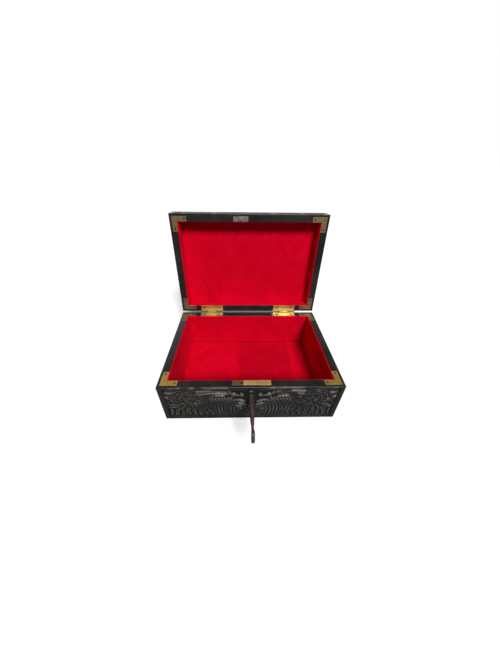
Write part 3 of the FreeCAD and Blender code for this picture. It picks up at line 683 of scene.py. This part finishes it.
def carved_block(relief, thickness, place, mitred, top_of=None, edge=EDGE, rim_edge=EDGE, hole=None):
    """A slab with the relief on its face, closed but for its flat back. place(u, v, depth) gives points.
    Mitred ends run back at 45 degrees, top_of(u) lowers the upper edge, which is rounded by rim_edge, and
    hole(u, v) says which cells are cut right through. Gives points, faces, the back's loops and the fields
    that the wood's material reads."""
    us, vs = relief.us, relief.vs
    tuck = edge_places(edge, QUARTER / 2)[0] if mitred else 0.0
    low_u, high_u = us[0] - tuck, us[-1] + tuck
    u, v = np.meshgrid(us, vs)
    depth = np.maximum(
        rounded_depth(np.minimum(u - low_u, high_u - u), edge),
        np.maximum(rounded_depth(v - vs[0], edge), rounded_depth(vs[-1] - v, rim_edge)),
    )
    depth = np.maximum(depth, -relief.height)
    back_u = u
    if mitred:
        u = np.clip(u, low_u + depth, high_u - depth)
        back_u = np.clip(u, low_u + thickness, high_u - thickness)
    if top_of is not None:
        knee = vs[-1] - KNEE
        v = np.where(v > knee, knee + (v - knee) * (top_of(us)[None, :] - knee) / KNEE, v)
    rows, columns = depth.shape
    number = np.arange(rows * columns).reshape(rows, columns)
    quads = cells_of(number)
    loops = [np.concatenate([number[0, :], number[1:, -1], number[-1, -2::-1], number[-2:0:-1, 0]])]
    if hole is not None:
        gone = hole(cell_middles(u), cell_middles(v)).ravel()
        loops.append(open_loop(quads[gone]))
        quads = quads[~gone]
    points = [place(u.ravel(), v.ravel(), depth.ravel())]
    faces = quads.tolist()
    total = rows * columns
    backs = []
    for loop in loops:
        count = len(loop)
        points.append(place(back_u.ravel()[loop], v.ravel()[loop], np.full(count, float(thickness))))
        back = total + np.arange(count)
        after = np.roll(np.arange(count), -1)
        faces += np.stack([loop[after], loop, back, back[after]], -1).tolist()
        backs.append(back)
        total += count
    fields = {"relief": 1 + np.clip(relief.height / relief.ground, -1, 0), "ridge": relief.ridges()}
    return np.concatenate(points), faces, backs, fields


def cells_of(number):
    """The four corners of each cell of a grid of point numbers."""
    corners = number[:-1, :-1], number[:-1, 1:], number[1:, 1:], number[1:, :-1]
    return np.stack(corners, -1).reshape(-1, 4)


def cell_middles(field):
    """A grid field's values in the middle of each cell."""
    return (field[:-1, :-1] + field[1:, 1:]) / 2


def open_loop(quads):
    """The closed loop of grid points round a patch of quads, run the way that faces its walls outwards."""
    edges = {(int(a), int(b)) for quad in quads for a, b in zip(quad, np.roll(quad, -1))}
    following = {a: b for a, b in edges if (b, a) not in edges}
    start = min(following)
    loop = [start]
    while following[loop[-1]] != start:
        loop.append(following[loop[-1]])
    return np.array(loop[::-1])


def close_back(mesh, loops):
    """Fills the flat back of a carved block, round any hole in it."""
    mesh.verts.ensure_lookup_table()
    edges = []
    for loop in loops:
        for first, second in zip(loop, np.roll(loop, -1)):
            edges.append(mesh.edges.get((mesh.verts[int(first)], mesh.verts[int(second)])))
    bmesh.ops.triangle_fill(mesh, use_beauty=True, edges=edges)


def store(mesh, fields):
    """Keeps each field, clipped to -1 and 1, on the mesh's first vertices for the material, and on the
    vertices after them one for relief and zero for ridge."""
    for name, rest in (("relief", 1.0), ("ridge", 0.0)):
        values = np.full(len(mesh.vertices), rest, np.float32)
        if name in fields:
            field = np.clip(fields[name].ravel(), -1, 1)
            values[: len(field)] = field
        mesh.attributes.new(name, "FLOAT", "POINT").data.foreach_set("value", values)


def core_of(node, outward):
    """A board's CAD shape without its outer layer: recesses, mitres and screw holes as they are."""
    mesh = welded(node)
    swing = swing_of(node).to_3x3()
    outward = (swing @ outward).normalized()
    along = outward.cross(swing @ Vector((0, 0, 1)))
    level = max(vertex.co.dot(outward) for vertex in mesh.verts) - (SKIN - LAP) * MM
    geometry = mesh.verts[:] + mesh.edges[:] + mesh.faces[:]
    bmesh.ops.bisect_plane(
        mesh, geom=geometry, plane_co=outward * level, plane_no=outward, clear_outer=True, dist=1e-7
    )
    edges = [edge for edge in mesh.edges if len(edge.link_faces) == 1]
    bmesh.ops.triangle_fill(mesh, use_beauty=True, edges=edges)

    def is_long_edge(edge):
        start, end = (vertex.co for vertex in edge.verts)
        on_cut = max(start.dot(outward), end.dot(outward)) > level - 1e-5
        return not on_cut and abs((end - start).normalized().dot(along)) > 0.99

    soften(mesh, 0.3, least_angle=50, least_length=4, wanted=is_long_edge)
    core = saved(mesh, node + "_core")
    store(core, {})
    return core


def carved_board(node, side, relief, place, **shape):
    """A whole board: its CAD core and its carved outer layer, as one piece that stands for the node."""
    points, faces, backs, fields = carved_block(relief, SKIN, place, True, **shape)
    skin = new_mesh(node + "_skin", points, faces, swing_of(node))
    face_outwards(skin, backs)
    store(skin, fields)
    mesh = joined(skin, core_of(node, -SIDES[side][1]))
    grain = "carved_x" if side in ("front", "back") else "carved_y"
    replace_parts(dress(f"{node}_carved", mesh, body_of(node), grain, 50, True), node)


def joined(first, second):
    """Both meshes in one, with their attributes."""
    objects = [add_object("part", mesh) for mesh in (first, second)]
    with bpy.context.temp_override(
        active_object=objects[0], selected_editable_objects=objects, selected_objects=objects
    ):
        bpy.ops.object.join()
    mesh = objects[0].data
    bpy.data.objects.remove(objects[0])
    return mesh


# Each side's direction along the board for someone who faces it, and its direction into the box
SIDES = {
    "front": (Vector((1, 0, 0)), Vector((0, 1, 0))),
    "back": (Vector((-1, 0, 0)), Vector((0, -1, 0))),
    "left": (Vector((0, -1, 0)), Vector((1, 0, 0))),
    "right": (Vector((0, 1, 0)), Vector((-1, 0, 0))),
}
board_low, board_high = closed_box("base_front_board")
HALF_WIDTH = board_high[0]
HALF_DEPTH = -board_low[1]
RIM = board_high[2]
REACH = {"front": (HALF_WIDTH, HALF_DEPTH), "back": (HALF_WIDTH, HALF_DEPTH),
         "left": (HALF_DEPTH, HALF_WIDTH), "right": (HALF_DEPTH, HALF_WIDTH)}


def placer(side):
    """The function that puts a point of a side's face, u along, v up and depth in, into the box."""
    along, inward = (np.array(direction) for direction in SIDES[side])
    out = REACH[side][1]

    def place(u, v, depth):
        points = u[:, None] * along + (depth - out)[:, None] * inward
        points[:, 2] += v
        return points

    return place


def front_motif(relief):
    """Half of the front: a peony and its leaves outside, and a bird that faces the lock."""
    relief.leaves((12, 8), (140, 8), (70, 110), (19, 21), (30, -30), 3.6, 13, -3.0, 1.9)
    relief.leaves((114, 84), (143, 44), (-10, -80), (28, 26), (40, -30), 4.0, 5, -2.9, 2.0)
    relief.leaves((2, 12), (8, 48), (8, 18), (36, 26), (44, -24), 3.4, 5, -2.8, 2.4)
    relief.bird(29, 68)
    relief.leaves((96, 42), (110, 51), (-166, 16), (40, 41), (-46, 42), 4.4, 9, -2.8, 2.5)
    relief.bundle((99, 46), (107, 48), (-146, -10), (25, 27), (34, -34), 2.4, 5, -1.9, 1.9, LEAF)
    relief.stem(104, 46, -84, 38, -38)
    relief.stem(104, 46, -40, 42, 34)
    relief.leaves((122, 82), (129, 60), (14, -14), (19, 19), (-50, 40), 3.4, 3, -2.4, 2.1)
    relief.leaf(66, 81, 179, 40, 2.0, 6, -2.3)
    relief.leaf(30, 81, 182, 24, 1.8, -8, -2.3)
    relief.peony(106, 66, 21)


def finish_face(relief, half):
    """The uneven ground of a base wall, a last softening, the plain border and the rubbed upper edge."""
    relief.stipple()
    relief.height = (relief.height + blurred(relief.height, 1, 1)) / 2
    relief.border(-half + BORDER_SIDE, half - BORDER_SIDE, BORDER_FOOT, RIM - BORDER_TOP)
    relief.wear(RIM - 2.0)


def both_ways(relief, motif):
    """Draws a motif on the right half and, turned over, on the left."""
    for side in (1, -1):
        relief.side = side
        motif(relief)
    relief.side = 1


def base_grid(half, step, extra=()):
    """The grid of a base wall's face."""
    return places(-half, half, EDGE, QUARTER / 2, step, extra), places(0, RIM, EDGE, QUARTER, step)


def make_front():
    relief = Relief(*base_grid(HALF_WIDTH, STEP), SEED)
    both_ways(relief, front_motif)
    plate_low, plate_high = closed_box("escutcheon")
    x, _, z = (plate_low + plate_high) / 2
    wide, _, high = (plate_high - plate_low) / 2
    relief.tuft(0, 12, ((90, 34), (52, 30), (128, 30), (20, 22), (160, 22)))
    for hand in (1, -1):
        relief.boss(x + hand * 15.5, z, 4.2, 4.2, -2.3, 1.9, ring=0.6)
    finish_face(relief, HALF_WIDTH)
    seat = plate_high[1] + HALF_DEPTH + LAP
    relief.plateau(x, z, wide + 0.5, high + 0.5, -seat)
    barrel_low, barrel_high = closed_box("lock_barrel")
    key_x, _, key_z = np.array(closed_box("key")).mean(0)
    bore = (barrel_high[0] - barrel_low[0]) / 2 - KEYHOLE_LIP
    slot_foot = barrel_low[2] - SLOT_DROP

    def keyhole(u, v):
        in_slot = (np.abs(u - key_x) < SLOT_HALF) & (v < key_z) & (v > slot_foot)
        return in_slot | (np.hypot(u - key_x, v - key_z) < bore)

    carved_board("base_front_board", "front", relief, placer("front"), hole=keyhole)


def leaf_spans(half, turned=1):
    """Where the hinge leaves of the base or the lid lie along x, or along -x where turned is -1."""
    boxes = [closed_box(f"hinge_{side}_{half}_leaf") for side in ("left", "right")]
    return [sorted((turned * low[0], turned * high[0])) for low, high in boxes]


def recess_ends(spans):
    """Grid places close to both sides of each recess's ends."""
    return [end + shift for span in spans for end in span for shift in (-HAIR, HAIR)]


def recessed(spans, rim, level):
    """The upper edge of a back wall: at level over the hinge leaves, and at rim elsewhere."""
    def top_of(u):
        top = np.full(len(u), float(rim))
        for start, end in spans:
            top[(u > start) & (u < end)] = level - HAIR
        return top

    return top_of


def make_back():
    spans = leaf_spans("base", -1)
    relief = Relief(*base_grid(HALF_WIDTH, COARSE_STEP, recess_ends(spans)), SEED + 1)
    both_ways(relief, front_motif)
    relief.tuft(0, 10, ((90, 34), (50, 30), (130, 30)))
    relief.peony(0, 62, 15)
    finish_face(relief, HALF_WIDTH)
    top_of = recessed(spans, RIM, closed_box("base_bracket_back_left")[0][2])
    carved_board("base_back_board", "back", relief, placer("back"), top_of=top_of, rim_edge=HINGE_EDGE)


def side_motif(relief):
    """Half of a side: leaves and small flowers that run out from the flower in the middle."""
    relief.leaves((6, 5), (94, 5), (75, 105), (22, 22), (30, -30), 4.0, 9, -3.0, 1.9)
    relief.leaves((8, 83), (94, 83), (-75, -105), (22, 22), (-30, 30), 4.0, 9, -3.0, 1.9)
    relief.leaves((14, 40), (14, 50), (-66, 66), (52, 50), (-34, 34), 5.0, 7, -2.8, 2.4)
    relief.leaves((70, 40), (72, 46), (-60, 60), (26, 26), (30, -30), 3.6, 5, -2.7, 2.2)
    relief.stem(20, 44, 12, 62, -30)
    relief.peony(77, 63, 14)
    relief.peony(71, 23, 13)


def make_side(side, seed):
    relief = Relief(*base_grid(HALF_DEPTH, COARSE_STEP), seed)
    both_ways(relief, side_motif)
    relief.peony(0, 44, 27)
    finish_face(relief, HALF_DEPTH)
    carved_board(f"base_{side}_board", side, relief, placer(side))


def make_lid_wall(side, seed):
    """A wall of the lid, drawn upside down: its rim, where the hinge leaves lie, is its upper edge."""
    node = f"lid_{side}_board"
    low, high = closed_box(node)
    half = REACH[side][0]
    spans = leaf_spans("lid") if side == "back" else []
    us = places(-half, half, EDGE, QUARTER / 2, COARSE_STEP, recess_ends(spans))
    vs = places(low[2], high[2], EDGE, QUARTER, COARSE_STEP)
    relief = Relief(us, vs, seed, LID_GROUND)
    total = low[2] + high[2]
    relief.scroll(-half + BORDER_SIDE + 2, half - BORDER_SIDE - 2, total / 2, 11, 12)
    relief.stipple()
    relief.height = blurred(relief.height, 1, 1)
    relief.border(-half + BORDER_SIDE, half - BORDER_SIDE, low[2] + LID_BORDER_TOP, high[2] - LID_BORDER_RIM)
    upright = placer(side)

    def place(u, v, depth):
        return upright(-u, total - v, depth)

    shape = {}
    if spans:
        plate = closed_box("lid_bracket_back_left")[1][2]
        shape = {"top_of": recessed(spans, high[2], total - plate), "rim_edge": HINGE_EDGE}
    carved_board(node, side, relief, place, **shape)


def lid_motif(relief):
    """Half of the lid's top: a flower in each corner among its leaves, and plumes from the middle flower."""
    for hand in (1, -1):
        relief.leaves(
            (8, 90 * hand), (138, 90 * hand), (-76 * hand, -104 * hand), (26, 24), (30, -30),
            5.0, 12, -3.0, 1.9)
        relief.leaves(
            (138, 8 * hand), (138, 84 * hand), (168, 192), (26, 26), (30, -30),
            5.0, 7, -3.0, 1.9)
        relief.leaves(
            (98, 54 * hand), (98, 54 * hand), (10, 335), (38, 38), (36, 36),
            6.4, 11, -2.8, 2.3)
        relief.leaves(
            (30, 6 * hand), (20, 30 * hand), (8 * hand, 74 * hand), (58, 48), (-34 * hand, 30 * hand),
            5.6, 6, -2.8, 2.4)
        relief.bundle(
            (34, 12 * hand), (24, 30 * hand), (20 * hand, 62 * hand), (42, 36), (40 * hand, -30 * hand),
            3.0, 4, -1.9, 1.8, LEAF)
        relief.peony(98, 54 * hand, 21)
    relief.leaves((100, -8), (100, 8), (-40, 40), (36, 36), (40, -40), 4.6, 5, -2.7, 2.3)


def make_lid_top():
    low, high = closed_box("lid_top_board")
    us = places(-HALF_WIDTH, HALF_WIDTH, TOP_EDGE, QUARTER, TOP_STEP)
    vs = places(-HALF_DEPTH, HALF_DEPTH, TOP_EDGE, QUARTER, TOP_STEP)
    relief = Relief(us, vs, SEED + 20)
    both_ways(relief, lid_motif)
    relief.leaves((0, 0), (0, 0), (0, 336), (54, 54), (34, 34), 8.0, 15, -2.8, 2.3)
    relief.peony(0, 0, 38)
    relief.stipple()
    relief.height = (relief.height + blurred(relief.height, 1, 1)) / 2
    wide, deep = HALF_WIDTH - TOP_BORDER, HALF_DEPTH - TOP_BORDER
    relief.border(-wide, wide, -deep, deep)

    def place(u, v, depth):
        return np.stack([u, v, high[2] - depth], -1)

    points, faces, backs, fields = carved_block(
        relief, high[2] - low[2], place, False, edge=TOP_EDGE, rim_edge=TOP_EDGE)
    mesh = new_mesh("lid_top_board_carved", points, faces + [back.tolist() for back in backs], SWING)
    store(mesh, fields)
    face_outwards(mesh)
    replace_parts(dress("lid_top_board_carved", mesh, "lid", "carved_x", 50), "lid_top_board")


# ---------------- linings
def panel_axis(length):
    """Places across a panel's face, from 0 to length, closer together on its rolled edges."""
    cells = max(6, round((length - 2 * VELVET_ROLL) / VELVET_CELL))
    ends = VELVET_ROLL * (1 - np.cos(np.linspace(0, QUARTER, 4)))
    middle = np.linspace(VELVET_ROLL, length - VELVET_ROLL, cells)[1:-1]
    return np.concatenate([ends, middle, length - ends[::-1]])


def panel_grid(points):
    """The face of a velvet panel inside the place that points outline, rolled back at its edges, with the
    axis that it faces along and the level of its back."""
    low, high = points.min(0), points.max(0)
    axis = int(np.argmin(high - low))
    cavity = RIM if axis == 2 else 0.0
    inner, outer = sorted((low[axis], high[axis]), key=lambda level: abs(level - cavity))
    front, rear = (points[np.abs(points[:, axis] - level) < 0.01] for level in (inner, outer))
    sides = [side for side in range(3) if side != axis]
    starts = [front[:, side].min() for side in sides]
    lengths = [front[:, side].max() - start for side, start in zip(sides, starts)]
    stations = np.meshgrid(*(panel_axis(length) for length in lengths), indexing="ij")
    near = np.minimum(*(np.minimum(along, length - along) for along, length in zip(stations, lengths)))
    lift = 1 - rounded_depth(near, VELVET_ROLL) / VELVET_ROLL
    grid = np.zeros((*near.shape, 3))
    for side, along, start, length in zip(sides, stations, starts, lengths):
        least, most = rear[:, side].min(), rear[:, side].max()
        behind = np.clip(
            least + (along / length) * (most - least), least + VELVET_INSET, most - VELVET_INSET)
        grid[..., side] = lift * (start + along) + (1 - lift) * behind
    grid[..., axis] = outer + (inner - outer) * lift
    return grid, axis, outer


def velvet_panel(node, material, crown):
    """A velvet-covered panel: a soft crowned face with rolled edges, inside its CAD solid's place."""
    grid, axis, outer = panel_grid(closed_points(node))
    rows, columns = grid.shape[:2]
    number = np.arange(rows * columns).reshape(rows, columns)
    back_number = number.copy()
    back_number[1:-1, 1:-1] = rows * columns + np.arange((rows - 2) * (columns - 2)).reshape(rows - 2, -1)
    back = grid[1:-1, 1:-1].copy()
    back[..., axis] = outer
    points = np.concatenate([grid.reshape(-1, 3), back.reshape(-1, 3)])
    faces = np.concatenate([cells_of(number)[:, [0, 3, 2, 1]], cells_of(back_number)[:, [1, 2, 3, 0]]])
    mesh = new_mesh(node + "_velvet", points, faces.tolist())
    face_outwards(mesh)
    blow_up(mesh, number[3:-3, 3:-3].ravel(), crown)
    mesh.transform(swing_of(node))
    piece = dress(node + "_velvet", mesh, body_of(node), material, 60)
    finer = piece.modifiers.new("finer", "SUBSURF")
    finer.levels = finer.render_levels = 1
    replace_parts(piece, node)


def blow_up(mesh, free, crown):
    """Cloth under pressure, held but for its free points: the face rises by up to crown millimetres."""
    scene = bpy.context.scene
    thing = add_object("pad", mesh)
    rest = np.array([vertex.co for vertex in mesh.vertices])
    held = sorted(set(range(len(mesh.vertices))) - set(free.tolist()))
    thing.vertex_groups.new(name="held").add(held, 1.0, "REPLACE")
    cloth = thing.modifiers.new("cloth", "CLOTH")
    settings = cloth.settings
    settings.quality = 5
    settings.mass = 0.2
    settings.tension_stiffness = settings.compression_stiffness = 12
    settings.bending_stiffness = 0.6
    settings.shrink_min = -0.012
    settings.use_pressure = True
    settings.uniform_pressure_force = 3.0
    settings.vertex_group_mass = "held"
    settings.effector_weights.gravity = 0
    cloth.collision_settings.use_collision = False
    for step in range(1, 21):
        scene.frame_set(step)
    blown = thing.evaluated_get(bpy.context.evaluated_depsgraph_get())
    moved = np.array([vertex.co for vertex in blown.data.vertices])
    scene.frame_set(1)
    bpy.data.objects.remove(thing)
    shift = moved - rest
    reach = np.linalg.norm(shift, axis=1, keepdims=True)
    cap = crown * MM
    mesh.vertices.foreach_set("co", (rest + shift * cap / (cap + reach)).ravel())


def make_linings():
    for half in ("base", "lid"):
        for side in SIDES:
            # The lid's front lining takes the velvet with painted shade over all of it.
            second_tone = half == "lid" and side == "front"
            velvet_panel(f"{half}_{side}_lining", "painted_shade_velvet" if second_tone else "red_velvet", 1.0)
    velvet_panel("base_floor_lining", "floor_velvet", 2.0)
    velvet_panel("lid_top_lining", "red_velvet", 1.8)


# ---------------- metalwork
def brass_mount(node, material, width):
    refined(node, "brass", material, width)


def make_mounts():
    for half in ("base", "lid"):
        for depth in ("front", "back"):
            rubbed = half == "base" and depth == "front"
            for side in ("left", "right"):
                material = "aged_brass" if rubbed else "olive_brass"
                brass_mount(f"{half}_bracket_{depth}_{side}", material, 0.22)
        for kind in ("bracket", "hinge"):
            brass_mount(f"{half}_{kind}_screws", "screw_brass", 0.12)
    for side in ("left", "right"):
        for leaf in ("base", "lid"):
            brass_mount(f"hinge_{side}_{leaf}_leaf", f"{leaf}_hinge_brass", 0.2)
    brass_mount("lock_selvedge", "plate_brass", 0.22)
    refined("link_plate", "worn", "worn_nickel", 0.2, 10)
    refined("link_plate_screws", "worn", "worn_nickel", 0.12)
    brass_mount("escutcheon", "escutcheon", 0.2)
    brass_mount("escutcheon_pins", "escutcheon", 0.1)


# The key's forged surface, in millimetres: its mesh, and the depths of its dents and of its rust scale
KEY_VOXEL, DENT, SCALE = 0.36, 0.16, 0.07


def make_key():
    """The key: its CAD shape with softened edges, dents and rust scale."""
    mesh = welded("key")
    bmesh.ops.triangulate(mesh, faces=mesh.faces)
    rough = add_object("rough_key", saved(mesh, "key_rusty"))
    remesh = rough.modifiers.new("voxels", "REMESH")
    remesh.mode = "VOXEL"
    remesh.voxel_size = KEY_VOXEL * MM
    solid = bpy.data.meshes.new_from_object(rough.evaluated_get(bpy.context.evaluated_depsgraph_get()))
    bpy.data.objects.remove(rough)
    mesh = bmesh.new()
    mesh.from_mesh(solid)
    for _ in range(3):
        bmesh.ops.smooth_vert(
            mesh, verts=mesh.verts, factor=0.5, use_axis_x=True, use_axis_y=True, use_axis_z=True)
    mesh.normal_update()
    for vertex in mesh.verts:
        place = vertex.co / MM
        dents = noise.fractal(place * 0.22, 0.9, 2.1, 4)
        scale = noise.fractal(place * 1.1, 0.8, 2.2, 3)
        vertex.co += vertex.normal * (DENT * dents + SCALE * scale) * MM
    mesh.to_mesh(solid)
    mesh.free()
    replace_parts(dress("key_rusty", solid, "key", "rusty_iron", 180), "key")


def paint_hidden_parts():
    """Materials for the CAD parts that stay as they are."""
    finishes = {
        "wood_x": ("base_bottom_board",),
        "lock_brass": (
            "lock_back_plate", "lock_case", "lock_screws", "lock_bolt_guide", "lock_bolt", "lock_barrel"),
        "lock_steel": ("lock_bolt_spring", "lock_drill_pin", "hinge_left_pin", "hinge_right_pin"),
    }
    for finish, nodes in finishes.items():
        for node in nodes:
            for place in frame["nodes"][node].material_slots:
                place.link = "OBJECT"
                place.material = MATERIALS[finish]


# ---------------- studio
# The viewer's eye in millimetres and its turns in degrees: right, down, and the picture's own tilt
EYE = (-17.95, -313.8, 380.0)
EYE_RIGHT, EYE_DOWN, EYE_TILT = 1.535, 36.088, 0.873
LENS, SHIFT = 11.84, (0.0074, -0.0255)

# Broad soft lights, as power, and spread, turn to the right from the front, and height in degrees: a key
# from the front, high and to the right, and a weaker one from behind, which the lid keeps off the linings
LIGHTS = {"key_light": (4.0, 18, 17, 49), "back_light": (1.15, 64, 186, 9)}
FILL, BACKDROP = 0.15, 1.0


def make_camera():
    turn, down, tilt = (math.radians(angle) for angle in (EYE_RIGHT, EYE_DOWN, EYE_TILT))
    forward = Vector((math.sin(turn) * math.cos(down), math.cos(turn) * math.cos(down), -math.sin(down)))
    right = Vector((math.cos(turn), -math.sin(turn), 0))
    up = right.cross(forward)
    tilted_right = right * math.cos(tilt) + up * math.sin(tilt)
    tilted_up = up * math.cos(tilt) - right * math.sin(tilt)
    data = bpy.data.cameras.new("camera")
    data.lens, data.sensor_width = LENS, 36
    data.shift_x, data.shift_y = SHIFT
    data.clip_start, data.clip_end = 0.01, 50
    camera = add_object("camera", data)
    axes = Matrix((tilted_right, tilted_up, -forward)).transposed().to_4x4()
    camera.matrix_world = Matrix.Translation(Vector(EYE) * MM) @ axes
    bpy.context.scene.camera = camera


def make_studio():
    scene = bpy.context.scene
    scene.view_settings.view_transform = "Standard"
    world = bpy.data.worlds.new("studio")
    world.use_nodes = True
    tree = world.node_tree
    sky = tree.nodes["Background"]
    sky.inputs["Color"].default_value = (1.0, 1.0, 1.0, 1)
    seen = tree.nodes.new("ShaderNodeLightPath").outputs["Is Camera Ray"]
    strength = tree.nodes.new("ShaderNodeMapRange")
    tree.links.new(seen, strength.inputs["Value"])
    strength.inputs["To Min"].default_value = FILL
    strength.inputs["To Max"].default_value = BACKDROP
    tree.links.new(strength.outputs[0], sky.inputs["Strength"])
    scene.world = world
    reach = 12.0
    corners = [(-reach, -reach, 0), (reach, -reach, 0), (reach, reach, 0), (-reach, reach, 0)]
    floor = bpy.data.meshes.new("studio_floor")
    floor.from_pydata(corners, [], [(0, 1, 2, 3)])
    floor.materials.append(plain_ground("pale_floor"))
    add_object("studio_floor", floor)
    for name, (power, spread, side, height) in LIGHTS.items():
        data = bpy.data.lights.new(name, "SUN")
        data.energy, data.angle = power, math.radians(spread)
        lamp = add_object(name, data)
        turn, rise = math.radians(side), math.radians(height)
        away = Vector((math.sin(turn) * math.cos(rise), -math.cos(turn) * math.cos(rise), math.sin(rise)))
        lamp.rotation_euler = away.to_track_quat("Z", "Y").to_euler()


make_front()
make_back()
for shift, side in enumerate(("left", "right")):
    make_side(side, SEED + 2 + shift)
for shift, side in enumerate(SIDES):
    make_lid_wall(side, SEED + 10 + shift)
make_lid_top()
make_linings()
make_mounts()
make_key()
paint_hidden_parts()
make_studio()
make_camera()
